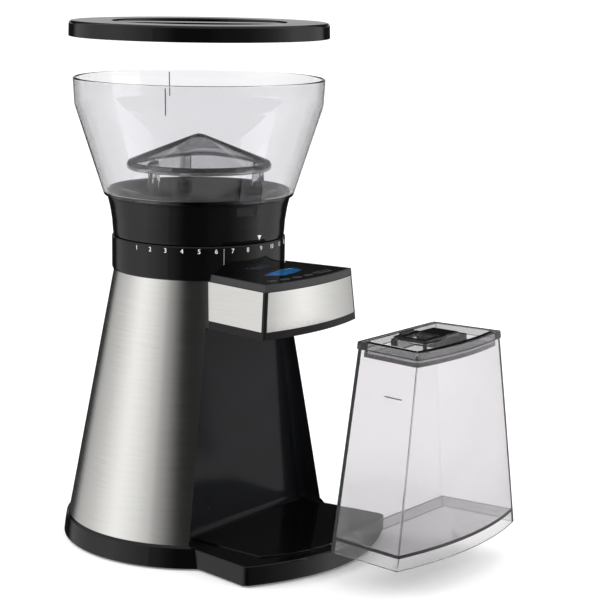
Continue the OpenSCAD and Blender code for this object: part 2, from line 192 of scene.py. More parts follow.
# %% Wall glow and overhead box
behind = grey_ramp(compass, [(0.50, 0.0), (0.56, 1.0), (0.67, 1.0), (0.72, 0.0)])
height = add_node(tree, "ShaderNodeSeparateXYZ", {"Vector": direction}).outputs["Z"]
wall_glow = 0.44
low_band = grey_ramp(height, [(0.0, 0.0), (0.008, wall_glow), (0.09, wall_glow), (0.13, 0.0)])
walls = add_node(
    tree, "ShaderNodeMixRGB", {"Fac": low_band, "Color1": soft_boxes, "Color2": behind}, blend_type="ADD"
)
overhead = add_node(
    tree, "ShaderNodeMapRange", {"Value": height, "From Min": 0.5, "From Max": 0.65, "To Max": 0.9}
)
surroundings = add_node(
    tree, "ShaderNodeMixRGB",
    {"Fac": overhead.outputs["Result"], "Color1": walls.outputs["Color"], "Color2": linear("#FFFFFF")},
)
print("wall glow of", wall_glow, "above the horizon")

# %% [markdown]
# Only mirror-like reflections see the painted studio. All other light is an even pale glow, as inside a
# product tent, because hard light would put dark shadows under the clear pieces.

# %% Which light a ray sees
glow_strength = 1.06
painted = add_node(tree, "ShaderNodeBackground", {"Color": surroundings.outputs["Color"], "Strength": 1.0})
glow = add_node(tree, "ShaderNodeBackground", {"Color": linear("#FFFFFF"), "Strength": glow_strength})
mirror_ray = add_node(tree, "ShaderNodeLightPath").outputs["Is Glossy Ray"]
light = add_node(
    tree, "ShaderNodeMixShader",
    {0: mirror_ray, 1: glow.outputs["Background"], 2: painted.outputs["Background"]},
)
add_node(tree, "ShaderNodeOutputWorld", {"Surface": light.outputs["Shader"]})
scene.view_settings.view_transform = "Standard"
print("tent glow of", glow_strength)

# %% [markdown]
# The floor is a wide sheet of matt white paper, as pale as the glow, so that it fades away behind the
# machine. It has no gloss, and mirror reflections don't see it, because a gloss black base on white paper
# would turn grey at its foot.

# %% Paper floor
floor_size = 30.0
bpy.ops.object.select_all(action="DESELECT")
bpy.ops.mesh.primitive_plane_add(size=floor_size)
floor = bpy.context.object
floor.name = "floor"
floor.visible_glossy = False
paper = bpy.data.materials.new("matt paper sweep")
paper.use_nodes = True
paper_values = {
    "Base Color": linear("#FBFBFB"), "Roughness": 1.0, "Specular IOR Level": 0.0,
    "Emission Color": linear("#FFFFFF"), "Emission Strength": 0.15,
}
for socket, value in paper_values.items():
    paper.node_tree.nodes["Principled BSDF"].inputs[socket].default_value = value
floor.data.materials.append(paper)
print("floor", floor_size, "m wide")

# %% [markdown]
# Two square lamps give the tent's light a direction: a key at the left and a weaker fill at the right. The
# painted boxes already stand for them in reflections, so the lamps themselves are kept out of those.

# %% Lamps
lamp_size = 0.9
lamp_reach = 1.3
aim = Vector((0, 0, 0.2))
for name, bearing, height, power in (("key left", 150, 0.9, 9.0), ("fill right", 300, 0.7, 6.0)):
    lamp = bpy.data.lights.new(name, "AREA")
    lamp.shape = "SQUARE"
    lamp.size = lamp_size
    lamp.energy = power
    holder = bpy.data.objects.new(name, lamp)
    holder.visible_glossy = False
    angle = math.radians(bearing)
    holder.location = (lamp_reach * math.cos(angle), lamp_reach * math.sin(angle), height)
    holder.rotation_mode = "QUATERNION"
    holder.rotation_quaternion = (holder.location - aim).to_track_quat("Z", "Y")
    scene.collection.objects.link(holder)
    print(name, "at", bearing, "degrees,", power, "W")

# %% [markdown]
# ## Finishes
# Each finish starts from the real material: a shader with the right index, colour and gloss, and one or
# two patterns that break it up at their true size. A pattern reads Object coordinates in metres, so its
# scale is one over its size in metres.

# %% A finish with a fine relief


def finish(name, colour, roughness, metal=0.0, **shader):
    """A material with one Principled shader; returns the material, its tree and the shader."""
    material = bpy.data.materials.new(name)
    material.use_nodes = True
    tree = material.node_tree
    main = tree.nodes["Principled BSDF"]
    main.inputs["Base Color"].default_value = linear(colour)
    main.inputs["Roughness"].default_value = roughness
    main.inputs["Metallic"].default_value = metal
    for socket, value in shader.items():
        main.inputs[socket.replace("_", " ")].default_value = value
    print("finish:", name)
    return material, tree, main


def relief(tree, main, size_mm, depth_mm, stretch=(1, 1, 1), detail=2.0):
    """Gives the shader a bump of noise, size_mm from hill to hill, stretched along an axis."""
    place = add_node(tree, "ShaderNodeTexCoord").outputs["Object"]
    stretched = add_node(tree, "ShaderNodeMapping", {"Vector": place, "Scale": stretch}).outputs["Vector"]
    per_metre = 1 / (size_mm * MM)
    noise = add_node(tree, "ShaderNodeTexNoise", {"Vector": stretched, "Scale": per_metre, "Detail": detail})
    pattern = noise.outputs["Fac"]
    bump = add_node(tree, "ShaderNodeBump", {"Height": pattern, "Distance": depth_mm * MM, "Strength": 1.0})
    tree.links.new(bump.outputs["Normal"], main.inputs["Normal"])
    return pattern


def spread(tree, main, socket, pattern, lowest, highest):
    """Lets a pattern move one of the shader's values between two bounds."""
    steps = {"Value": pattern, "From Min": 0.3, "From Max": 0.7, "To Min": lowest, "To Max": highest}
    spread_out = add_node(tree, "ShaderNodeMapRange", steps)
    tree.links.new(spread_out.outputs["Result"], main.inputs[socket])


def mottle(tree, main, pattern, dark, bright):
    """Lets a pattern move the base colour between two near shades."""
    shades = add_node(tree, "ShaderNodeValToRGB", {"Fac": pattern})
    for stop, place, colour in zip(shades.color_ramp.elements, (0.3, 0.7), (dark, bright)):
        stop.position = place
        stop.color = linear(colour)
    tree.links.new(shades.outputs["Color"], main.inputs["Base Color"])

# %% [markdown]
# The cone and the head panels are 304 stainless sheet, brushed round the body with a fine belt. Brushing
# stretches highlights across the grooves and dulls the mirror a little. Real grooves are a few hundredths
# of a millimetre apart, so they are drawn ten times coarser, long along the brushing and short across it.

# %% Brushed stainless steel
brushed_steel, tree, main = finish("brushed stainless steel", "#CFCECB", 0.2, 1.0, Anisotropic=0.3)
grooves = relief(tree, main, 30.0, 0.002, stretch=(1, 1, 60), detail=3.0)
spread(tree, main, "Roughness", grooves, 0.17, 0.23)
mottle(tree, main, grooves, "#CCCBC8", "#D3D2CF")

# %% [markdown]
# The lid, collar, scale ring and base are ABS from a mirror-polished mould. It is nearly black and very
# glossy, and only a slow ripple of the surface keeps its reflections from looking like glass.

# %% Polished black ABS
gloss_black, tree, main = finish("polished black ABS", "#080809", 0.07, IOR=1.46, Specular_IOR_Level=0.32)
ripple = relief(tree, main, 22.0, 0.02, detail=1.0)
spread(tree, main, "Roughness", ripple, 0.05, 0.10)

# %% [markdown]
# The head's bezel and the inner mouldings come from a spark-eroded mould: the same ABS, but with a fine
# grain that scatters the soft boxes to an even charcoal sheen.

# %% Grained black ABS
satin_black, tree, main = finish("grained black ABS", "#101011", 0.30, IOR=1.5, Specular_IOR_Level=0.2)
grain = relief(tree, main, 0.6, 0.03, detail=3.0)
spread(tree, main, "Roughness", grain, 0.30, 0.42)
bezel_black, tree, main = finish("grained bezel ABS", "#262628", 0.26, IOR=1.5, Specular_IOR_Level=0.4)
grain = relief(tree, main, 0.5, 0.015, detail=3.0)
spread(tree, main, "Roughness", grain, 0.26, 0.36)

# %% [markdown]
# The bay's liner is a smooth charcoal moulding, a shade lighter and bluer than the rest, with a soft
# sheen. A faint long mottling stands for the flow of the plastic in such a deep part.

# %% Charcoal bay moulding
charcoal, tree, main = finish("smooth charcoal ABS", "#191A1D", 0.14, IOR=1.47, Specular_IOR_Level=0.1)
flow = relief(tree, main, 40.0, 0.01, detail=2.0)
mottle(tree, main, flow, "#18191B", "#1B1C1F")

# %% [markdown]
# Hopper, guard and chamber are clear styrene copolymer with a breath of smoke in it. The smoke is in the
# plastic and not on it, so it is given as an absorption per metre: a thin wall looks clear, and every
# edge, where one looks along a wall, turns dark. The chamber's lid has far more smoke than the rest.

# %% Clear and smoked styrene


smoke_colour = "#0C0A0B"


def smoked(name, colour, per_metre):
    """Clear plastic that takes away a share of the light per metre of its own thickness."""
    material, tree, main = finish(name, colour, 0.01, IOR=1.45, Transmission_Weight=1.0)
    relief(tree, main, 35.0, 0.006, detail=1.0)
    smoke = add_node(
        tree, "ShaderNodeVolumeAbsorption", {"Color": linear(smoke_colour), "Density": per_metre}
    )
    tree.links.new(smoke.outputs["Volume"], tree.nodes["Material Output"].inputs["Volume"])
    return material


clear_plastic = smoked("clear styrene", "#FAFAFC", 60.0)
smoke_plastic = smoked("smoke-tinted styrene", "#FBF9FB", 78.0)
guard_plastic = smoked("guard styrene", "#F3F2F4", 60.0)
dark_smoke = smoked("dark smoke styrene", "#F2F1F3", 105.0)

# %% [markdown]
# Feet and mounts are black moulded rubber, quite dull. The markings are pad-printed inks: white on the
# ring, dark in the fill mark, grey round the keys. Cured ink is matt, with a fine speckle.

# %% Rubber and printing inks
rubber, tree, main = finish("moulded rubber", "#191919", 0.72, IOR=1.5)
relief(tree, main, 0.8, 0.04, detail=2.0)


def printed(name, colour, roughness, dullest):
    """Cured printing ink."""
    material, tree, main = finish(name, colour, roughness)
    specks = relief(tree, main, 0.25, 0.004)
    spread(tree, main, "Roughness", specks, roughness - 0.05, dullest)
    return material


white_ink = printed("white printing ink", "#E9E9E6", 0.45, 0.52)
fill_ink = printed("dark printing ink", "#3A3A3C", 0.50, 0.56)
key_ink = printed("grey printing ink", "#6A6C70", 0.50, 0.56)

# %% [markdown]
# The display is a liquid-crystal panel lit from behind, so it glows a little by itself. Over it lies a
# clear acrylic lens with a faint blue tint.

# %% Display and its lens
display, tree, main = finish("backlit blue display", "#4FA8D8", 0.25, Emission_Strength=0.7)
main.inputs["Emission Color"].default_value = linear("#3F9ACE")
spots = relief(tree, main, 0.5, 0.002)
mottle(tree, main, spots, "#3A8ABF", "#56A8D8")
lens_blue, tree, main = finish("tinted display lens", "#9CC6E4", 0.04, IOR=1.45, Transmission_Weight=1.0)
relief(tree, main, 18.0, 0.01, detail=1.0)

# %% [markdown]
# The works are made of what such works are made of: turned shafts, zinc-plated pressings, ground burrs,
# natural nylon wheels, oil-filled bronze bushes and green circuit boards. Metals differ by colour and by
# the marks of how they were cut, so each has a pattern of its own.

# %% Metals, nylon and board of the works
turned_steel, tree, main = finish("turned steel", "#A9A9A8", 0.3, 1.0)
turning = relief(tree, main, 12.0, 0.01, stretch=(1, 1, 30))
spread(tree, main, "Roughness", turning, 0.24, 0.38)
zinc_steel, tree, main = finish("zinc-plated steel", "#B4B6B8", 0.36, 1.0)
spangle = relief(tree, main, 5.0, 0.01)
mottle(tree, main, spangle, "#A9ABAE", "#BCBEC0")
burr_steel, tree, main = finish("hardened burr steel", "#6E6E70", 0.34, 1.0)
grind_marks = relief(tree, main, 3.0, 0.02, stretch=(1, 1, 6))
mottle(tree, main, grind_marks, "#5E5E60", "#7C7C7E")
nylon, tree, main = finish("natural nylon", "#E4E1D6", 0.42, IOR=1.53)
relief(tree, main, 1.2, 0.02)
bronze, tree, main = finish("sintered bronze", "#B08A4E", 0.45, 1.0)
pores = relief(tree, main, 0.4, 0.03)
mottle(tree, main, pores, "#9C7840", "#BC965A")
board, tree, main = finish("green solder resist", "#1C6B3C", 0.28, IOR=1.5)
tracks = relief(tree, main, 3.5, 0.03)
mottle(tree, main, tracks, "#175C33", "#237A46")
print(len(bpy.data.materials), "finishes")

# %% [markdown]
# ## The works
# Everything inside keeps its CAD shape and gets its real finish. One table says which. The visible outer
# nodes are in it too, so that nothing is left bare, and the later cells replace those.

# %% Finishes of the CAD nodes
slot_finish = {
    "brushed_steel": brushed_steel,
    "gloss_black": gloss_black,
    "satin_black": satin_black,
    "charcoal": charcoal,
    "smoked_clear": smoke_plastic,
    "rubber": rubber,
    "display_blue": lens_blue,
    "lcd": display,
    "circuit_board": board,
    "steel_plain": turned_steel,
    "hardened_steel": burr_steel,
    "nylon": nylon,
    "bronze": bronze,
}
own_finish = {"motor_can": zinc_steel, "frame_posts": zinc_steel, "hopper": clear_plastic}


def slot_of(node):
    """The material slot that the record gives a node."""
    return next(p["material_slot"] for p in frame["record"]["subparts"] if p["node"] == node)


for name, obj in frame["nodes"].items():
    obj.data.materials.clear()
    obj.data.materials.append(own_finish.get(name, slot_finish[slot_of(name)]))
print(len(frame["nodes"]), "CAD nodes dressed")

# %% [markdown]
# ## Ways of making
# Almost every piece is one of two kinds. A round one is an outline drawn point by point, as a turner's
# template, and spun round the burr axis. A block with flat or bowed walls starts as a cone or a cube and
# is trimmed by cuts along its real walls. Three small steps come back all the time: to select one object
# and nothing else, to open its mesh, and to add a modifier and apply it at once.

# %% Selecting, editing and applying


def only(obj):
    """Selects one object and nothing else."""
    bpy.ops.object.select_all(action="DESELECT")
    obj.select_set(True)
    bpy.context.view_layer.objects.active = obj
    return obj


def editing(obj, select="SELECT"):
    """Opens an object's mesh with all or none of it selected."""
    only(obj)
    bpy.ops.object.mode_set(mode="EDIT")
    bpy.ops.mesh.select_all(action=select)


def apply(obj, kind, **settings):
    """Adds a modifier and applies it."""
    only(obj)
    modifier = obj.modifiers.new(kind, kind)
    for name, value in settings.items():
        setattr(modifier, name, value)
    bpy.ops.object.modifier_apply(modifier=modifier.name)
    return obj

# %% [markdown]
# A moulded edge is never razor sharp, and the thin highlight along it is what makes a part look made, so
# edges get a small bevel. Weighted normals then keep the large faces flat beside their bevels: without
# them a flat clear wall would bend the view like a lens.

# %% Smoothing and softening
def smooth(obj, angle=30):
    """Smooths across edges blunter than an angle, and keeps the large faces flat."""
    only(obj)
    bpy.ops.object.shade_smooth_by_angle(angle=math.radians(angle))
    return apply(obj, "WEIGHTED_NORMAL", keep_sharp=True, weight=80)


def soften(obj, width_mm, segments=3, angle=30):
    """Rounds the edges sharper than an angle."""
    return apply(
        obj, "BEVEL", width=width_mm * MM, segments=segments, limit_method="ANGLE",
        angle_limit=math.radians(angle), harden_normals=False, use_clamp_overlap=True,
    )

# %% [markdown]
# Openings are cut with a second solid, which is thrown away after the cut. Flat walls are cut with a
# plane, and the cut is closed at once, so that a block stays a solid all the way.

# %% Cutting
def cut_with(obj, tool, operation="DIFFERENCE"):
    """Cuts a solid with another one, and removes the tool."""
    apply(obj, "BOOLEAN", operation=operation, object=tool, solver="EXACT")
    bpy.data.objects.remove(tool)
    return obj


def trim(obj, point, normal):
    """Cuts away all that lies past a plane, and closes the cut. The point is in mm."""
    editing(obj)
    bpy.ops.mesh.bisect(plane_co=Vector(point) * MM, plane_no=normal, use_fill=True, clear_outer=True)
    bpy.ops.object.mode_set(mode="OBJECT")
    return obj

# %% [markdown]
# A finished piece keeps its place in its mesh, and the object itself stays at the origin. It is named,
# given its finish, and tied to the body it moves with, in place of the plain nodes that it covers.

# %% Placing and finishing a piece
def shift(obj, matrix):
    """Puts a mesh in its place, and leaves the object at the origin."""
    obj.data.transform(matrix)
    obj.data.update()
    return obj


def done(obj, name, body, material, slot, *nodes):
    """Names and smooths a piece, gives it its finish, and lets it ride in place of its CAD nodes."""
    smooth(obj)
    obj.name = name
    obj.data.materials.clear()
    obj.data.materials.append(material)
    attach(obj, body)
    if nodes:
        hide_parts(*nodes)
    print(f"{name}: {len(obj.data.polygons)} faces on {body}")
    return obj

# %% [markdown]
# A turner's template is a line of corners, and most corners of a moulding are rounded. So a corner may
# carry its radius as a third number and is then drawn as an arc. The line is made by extruding one vertex
# from point to point, and the spin operator sweeps it round the axis into a closed solid.

# %% An outline with round corners, spun into a solid


def rounded(points, arc_steps=4):
    """Replaces each corner that carries a third value by an arc of that radius."""
    made = []
    count = len(points)
    for i, point in enumerate(points):
        here = Vector(point[:2])
        if len(point) < 3:
            made.append(here)
            continue
        back = (Vector(points[i - 1][:2]) - here).normalized()
        ahead = (Vector(points[(i + 1) % count][:2]) - here).normalized()
        half = back.angle(ahead) / 2
        reach = point[2] / math.tan(half)
        centre = here + (back + ahead).normalized() * (point[2] / math.sin(half))
        start = here + back * reach - centre
        end = here + ahead * reach - centre
        for k in range(arc_steps + 1):
            spoke = start.slerp(end, k / arc_steps).normalized() * point[2]
            made.append(centre + spoke)
    return made


def drawn(points, height=None):
    """Draws a line by extruding one vertex through (x, z) points, or (x, y) points at a height, in mm."""
    bpy.ops.object.select_all(action="DESELECT")
    bpy.ops.mesh.primitive_plane_add(size=MM)
    bpy.ops.object.mode_set(mode="EDIT")
    bpy.ops.mesh.merge(type="CENTER")
    here = Vector()
    for i, point in enumerate(points):
        there = Vector((point[0], 0, point[1]) if height is None else (point[0], point[1], height)) * MM
        if i:
            bpy.ops.mesh.extrude_vertices_move(TRANSFORM_OT_translate={"value": there - here})
        else:
            bpy.ops.transform.translate(value=there)
        here = there
    bpy.ops.mesh.select_all(action="SELECT")
    return bpy.context.object


def turned(outline, steps=144, arc_steps=4):
    """Spins an outline of (radius, height) points round the burr axis."""
    points = rounded(outline, arc_steps)
    on_axis = points[0].x < 1e-6 and points[-1].x < 1e-6
    obj = drawn(points if on_axis else points + points[:1])
    bpy.ops.mesh.spin(steps=steps, angle=math.tau, center=(0, 0, 0), axis=(0, 0, 1))
    bpy.ops.mesh.select_all(action="SELECT")
    bpy.ops.mesh.remove_doubles(threshold=0.01 * MM)
    bpy.ops.mesh.normals_make_consistent(inside=False)
    bpy.ops.object.mode_set(mode="OBJECT")
    return obj

print("a moulded corner is drawn with", len(rounded([(0, 0), (10, 0, 3), (10, 10)])) - 2, "points")

# %% [markdown]
# The bay, the head and the chamber share one form: a bowed front and two side walls that lean in as they
# rise and flare towards the front. A cone gives the bow, and one cut on each side gives the walls. Plain
# boxes and plates with a drawn plan complete the set.

# %% A block with bowed front and leaning walls


def cone_block(radius_low, radius_high, z0, z1, centre_y=0.0, steps=240):
    """A solid cone about a vertical line through (0, centre_y), in mm."""
    bpy.ops.object.select_all(action="DESELECT")
    bpy.ops.mesh.primitive_cone_add(
        vertices=steps, radius1=radius_low * MM, radius2=radius_high * MM, depth=(z1 - z0) * MM,
        location=(0, centre_y * MM, (z0 + z1) / 2 * MM),
    )
    bpy.ops.object.transform_apply(location=True, rotation=False, scale=False)
    return bpy.context.object


def between_walls(obj, half_width, y0, z0, lean, flare):
    """Trims both sides by walls through (half_width, y0, z0) that lean in upwards and flare forwards."""
    across, up = math.radians(flare), math.radians(lean)
    normal = Vector((math.cos(across) * math.cos(up), math.sin(across), math.cos(across) * math.sin(up)))
    trim(obj, (half_width, y0, z0), normal)
    return trim(obj, (-half_width, y0, z0), (-normal.x, normal.y, normal.z))


def cube_block(low_corner, high_corner):
    """A box between two corners, in mm."""
    low_corner, high_corner = Vector(low_corner), Vector(high_corner)
    bpy.ops.object.select_all(action="DESELECT")
    bpy.ops.mesh.primitive_cube_add(size=1, location=(low_corner + high_corner) / 2 * MM)
    obj = bpy.context.object
    obj.scale = (high_corner - low_corner) * MM
    bpy.ops.object.transform_apply(location=True, rotation=False, scale=True)
    return obj


def slab(points, z0, z1):
    """A plate with a drawn plan, in mm."""
    obj = drawn(list(points) + [points[0]], z0)
    bpy.ops.mesh.remove_doubles(threshold=0.001 * MM)
    bpy.ops.mesh.edge_face_add()
    bpy.ops.mesh.extrude_region_move(TRANSFORM_OT_translate={"value": (0, 0, (z1 - z0) * MM)})
    bpy.ops.mesh.select_all(action="SELECT")
    bpy.ops.mesh.normals_make_consistent(inside=False)
    bpy.ops.object.mode_set(mode="OBJECT")
    return obj


def cone_radius(height):
    """The steel cone's radius at a height, in mm."""
    share = (height - base_top) / (body_top - base_top)
    return body_r_low + (body_r_high - body_r_low) * share


print("the cone is", round(cone_radius(head_low), 1), "mm in radius at the head's underside")

# %% [markdown]
# ## Hopper lid
# The lid is a shallow cap with a skirt round the hopper's rim. Its top is dished, and a flat bar left
# standing across the dish is the grip: fingers go into the two crescents beside it. The cap and the bar
# are one moulding, so the bar is joined to the spun cap.

# %% Hopper lid
dish_r = 71.0
dish_depth = 10.0
skirt_r = lid_r - 2.4
seat = lid_top - 3.9
dish_underside = seat - 8.2
lid = turned(
    [
        (0, lid_top - dish_depth), (dish_r - 1.5, lid_top - dish_depth, 3.0), (dish_r, lid_top, 1.6),
        (lid_r - 0.4, lid_top, 2.6), (lid_r, low("hopper_lid"), 0.6), (skirt_r, low("hopper_lid"), 0.6),
        (skirt_r, seat, 0.8), (dish_r + 2, seat, 0.8), (dish_r + 2, dish_underside, 1.0),
        (0, dish_underside),
    ],
    steps=180,
)
bar_width = 26.0
bar_top = lid_top - 0.9
bar_bearing = -49
bar = cone_block(dish_r + 0.8, dish_r + 0.8, lid_top - dish_depth - 1, bar_top, steps=180)
trim(bar, (0, bar_width / 2, 0), (0, 1, 0))
trim(bar, (0, -bar_width / 2, 0), (0, -1, 0))
soften(bar, 1.6, 3, 50)
shift(bar, Matrix.Rotation(math.radians(bar_bearing), 4, "Z"))
cut_with(lid, bar, "UNION")
done(lid, "hopper_lid_moulding", "lid", gloss_black, "gloss_black", "hopper_lid")

# %% [markdown]
# ## Hopper
# The bean hopper is a clear funnel with a straight band at the top. The rim is a little thicker and
# rounded, and the foot is a flat ring that drops over the collar. The wall is a true thickness, so the
# dark lines along its edges come from refraction, as on the real one.

# %% Hopper shell
foot_top = low("hopper") + 3.0
knee = hopper_top - 22.0
knee_r = 101.7
hopper = turned(
    [
        (66.5, collar_top, 0.4), (78.0, collar_top, 0.8), (78.8, foot_top - 0.6, 0.6), (knee_r, knee, 9.0),
        (hopper_r, hopper_top, 1.1), (hopper_r - 2.7, hopper_top, 1.1), (99.2, knee + 0.4, 7.0),
        (76.0, foot_top, 1.0), (66.5, foot_top, 0.4),
    ],
    steps=180,
)
done(hopper, "hopper_shell", "hopper_turret", clear_plastic, "smoked_clear", "hopper")

# %% [markdown]
# A short dark line is moulded down from the rim at the front and at the back: it lines up with the lid
# and with the machine when the hopper is put on. It is drawn as a slim raised rib that follows the
# band's lean.

# %% Line marks on the hopper
mark_drop = 12.5
mark_half = 10.5
wall_lean = math.atan((hopper_r - knee_r) / (hopper_top - knee))
wall_r = hopper_r - mark_drop * math.tan(wall_lean)
for side, bearing in (("front", -153.6), ("back", 56.0)):
    rib = cube_block((-0.4, -0.3, -mark_half), (0.4, 0.3, mark_half))
    soften(rib, 0.12, 1)
    out = Matrix.Translation(Vector((0, -wall_r - 0.1, hopper_top - mark_drop)) * MM)
    turn = Matrix.Rotation(math.radians(bearing + 90), 4, "Z")
    shift(rib, turn @ out @ Matrix.Rotation(wall_lean, 4, "X"))
    done(rib, f"hopper_line_{side}", "hopper_turret", fill_ink, "satin_black")

# %% [markdown]
# ## Collar and scale ring
# The collar carries the hopper and flares gently up to it; a rolled lip at the top catches a bright
# line. The scale ring below stands still and holds the numerals, so the pointer rides with the collar
# and the numerals with the machine. A shadow gap parts the two.

# %% Collar
collar = turned(
    [
        (62, 268), (66, 268), (66, collar_low, 0.3), (70.4, collar_low, 0.8), (70.9, 258, 6.0),
        (71.5, 267, 20.0), (73.2, 278, 20.0), (74.6, 284.0), (74.9, 285.0, 0.3), (75.1, 286.2, 0.6),
        (75.0, collar_top, 0.6), (66.3, collar_top, 0.4), (66.3, 284), (62, 284),
    ],
    steps=180,
)
done(collar, "turning_collar", "hopper_turret", gloss_black, "gloss_black", "collar")

# %% [markdown]
# The pointer is a small printed triangle near the foot of the collar, with its tip down to the scale.
# Marks on a drum are made flat and then stood up: their X runs round the drum and their Y runs up it.

# %% Pointer on the collar
pointer_bearing = math.radians(-95.8)
pointer_height = 260.0
pointer_size = 2.6
pointer_t = 0.25


def on_drum(obj, bearing, radius, height):
    """Stands a flat mark on the drum at a bearing in radians."""
    upright = Matrix.Rotation(bearing + math.pi / 2, 4, "Z") @ Matrix.Rotation(math.pi / 2, 4, "X")
    place = Vector((radius * math.cos(bearing), radius * math.sin(bearing), height)) * MM
    return shift(obj, Matrix.Translation(place) @ upright)


bpy.ops.object.select_all(action="DESELECT")
bpy.ops.mesh.primitive_circle_add(vertices=3, radius=pointer_size * MM, fill_type="NGON")
pointer = bpy.context.object
editing(pointer)
bpy.ops.mesh.extrude_region_move(TRANSFORM_OT_translate={"value": (0, 0, pointer_t * MM)})
bpy.ops.mesh.select_all(action="SELECT")
bpy.ops.mesh.normals_make_consistent(inside=False)
bpy.ops.object.mode_set(mode="OBJECT")
# the mirror that turns the tip down also turns the faces inside out, so they are flipped back
shift(pointer, Matrix.Diagonal((0.95, -1, 1, 1)))
pointer.data.flip_normals()
on_drum(pointer, pointer_bearing, 70.95, pointer_height)
done(pointer, "collar_pointer", "hopper_turret", white_ink, "satin_black")

# %% [markdown]
# The scale ring is a plain turned band, a little prouder than the collar at its middle. Both its edges
# are broken, so that it reads as a separate ring between cone and collar.

# %% Scale ring
ring = turned(
    [
        (66, ring_low, 0.3), (71.3, ring_low, 0.4), (ring_r, ring_low + 1.5, 0.5),
        (ring_r, ring_top - 1.2, 0.9), (71.1, ring_top, 0.4), (66, ring_top, 0.3),
    ],
    steps=180,
)
done(ring, "grind_scale_ring", "machine", gloss_black, "gloss_black", "scale_ring")

# %% [markdown]
# The scale runs from 1, fine, to 18, coarse, one number every 11 degrees, counter-clockwise seen from
# above. Each numeral is printed: text made into a mesh a quarter of a millimetre thick, stood on the
# ring. A dotted line parts the fine range from the rest. All marks are joined into one printed layer.

# %% Numerals and dotted line
first_bearing = -182.6
step_bearing = 11.0
numeral_height = 250.6
numeral_size = 5.2
ink_t = 0.24
marks = []
for number in range(1, 19):
    bpy.ops.object.select_all(action="DESELECT")
    bpy.ops.object.text_add()
    text = bpy.context.object
    text.data.body = str(number)
    text.data.size = numeral_size * MM
    text.data.align_x = "CENTER"
    text.data.align_y = "CENTER"
    text.data.extrude = ink_t / 2 * MM
    text.data.space_character = 0.95
    bpy.ops.object.convert(target="MESH")
    bearing = math.radians(first_bearing + step_bearing * (number - 1))
    marks.append(on_drum(bpy.context.object, bearing, ring_r, numeral_height))

line_bearing = math.radians(-122.6)
for dot in range(9):
    bpy.ops.object.select_all(action="DESELECT")
    bpy.ops.mesh.primitive_cylinder_add(vertices=8, radius=0.33 * MM, depth=ink_t * MM)
    marks.append(on_drum(bpy.context.object, line_bearing, ring_r, 240.5 + 1.45 * dot))

bpy.ops.object.select_all(action="DESELECT")
for mark in marks:
    mark.select_set(True)
bpy.context.view_layer.objects.active = marks[0]
bpy.ops.object.join()
editing(bpy.context.object)
bpy.ops.mesh.remove_doubles(threshold=0.0005 * MM)
bpy.ops.mesh.normals_make_consistent(inside=False)
bpy.ops.object.mode_set(mode="OBJECT")
done(bpy.context.object, "scale_numerals", "machine", white_ink, "satin_black")

# %% [markdown]
# ## Hopper floor and guard
# The black floor funnels the beans to the throat. Three low bosses on it take the legs of the guard.

# %% Funnel floor with its bosses
leg_bearings = (-65, 55, 175)
leg_out = 50.0
floor_top = high("hopper_floor")
funnel = turned(
    [
        (24, 277), (60.4, 287.9), (66.1, 287.9), (66.1, 291.1), (75, 291.1, 0.3), (75, floor_top, 0.5),
        (64, floor_top, 3.0), (24, 280.4, 1.0),
    ],
    steps=144,
)


def carry_out(obj, bearing, radius):
    """Moves a piece made on the burr axis out by a radius, at a bearing in degrees."""
    out = Matrix.Translation(Vector((radius, 0, 0)) * MM)
    return shift(obj, Matrix.Rotation(math.radians(bearing), 4, "Z") @ out)


for bearing in leg_bearings:
    boss = cone_block(6.5, 6.2, 285.8, floor_top, steps=32)
    soften(boss, 0.5, 2)
    cut_with(funnel, carry_out(boss, bearing, leg_out), "UNION")
done(funnel, "hopper_funnel", "hopper_turret", gloss_black, "gloss_black", "hopper_floor")

# %% [markdown]
# Over the floor stands a clear cone on three fluted legs, which keeps fingers away from the burrs and
# takes the weight of the beans off them. Its rim is thick and round, so it shows as a grey band.

# %% Guard cone and its legs
apex = high("hopper_guard")
guard = turned(
    [
        (0, apex), (5, apex - 1.2, 5.0), (58.6, 315.6, 2.0), (60, 312.6, 2.2), (59.4, 309.5, 0.8),
        (57, 309.5, 0.8), (56.8, 312.0, 1.0), (5, apex - 4.6, 4.0), (0, apex - 3.8),
    ],
    steps=120,
)
flutes = 8
for bearing in leg_bearings:
    leg = cone_block(5.2, 4.6, floor_top, 316.5, steps=24)
    for flute in range(flutes):
        groove = cone_block(0.75, 0.75, floor_top - 2, 320, steps=10)
        cut_with(leg, carry_out(groove, flute * 360 / flutes, 5.1))
    cut_with(guard, carry_out(leg, bearing, leg_out), "UNION")
done(guard, "bean_guard", "hopper_turret", guard_plastic, "smoked_clear", "hopper_guard")

# %% [markdown]
# ## Base
# The base is one glossy moulding: a round foot under the cone and a plate that reaches forward under the
# chamber. Both have the same soft shoulder. The plate's plan is a bowed front with two round corners,
# and two sides that flare forward from under the bay's walls.

# %% Plan of the front plate
plate_top = 17.5
plate_r = 166.0
plate_centre_y = 9.0
plate_back_x = 78.2
plate_front_x = 92.1
plate_flare = (100.0 - plate_back_x) / 150.0


def plate_plan(inset, steps=24, corner_r=7.0):
    """The points of the front plate's outline, moved inwards by inset."""
    r = plate_r - inset
    side = math.asin((plate_front_x - inset) / r)
    arc = [-side + 2 * side * k / steps for k in range(steps + 1)]
    front = [(r * math.sin(a), plate_centre_y - r * math.cos(a)) for a in arc]
    front[0] += (corner_r,)
    front[-1] += (corner_r,)
    back_x = plate_back_x - inset - plate_flare * 5
    return rounded(front + [(back_x, -15.0), (-back_x, -15.0)], 6)


print("plate plan with", len(plate_plan(0)), "points")

# %% [markdown]
# The bay is the open space under the head: a flat back wall, two walls that lean in as they rise, and a
# roof. One block of that shape cuts the base, the cone and the liner alike, so they all line up.

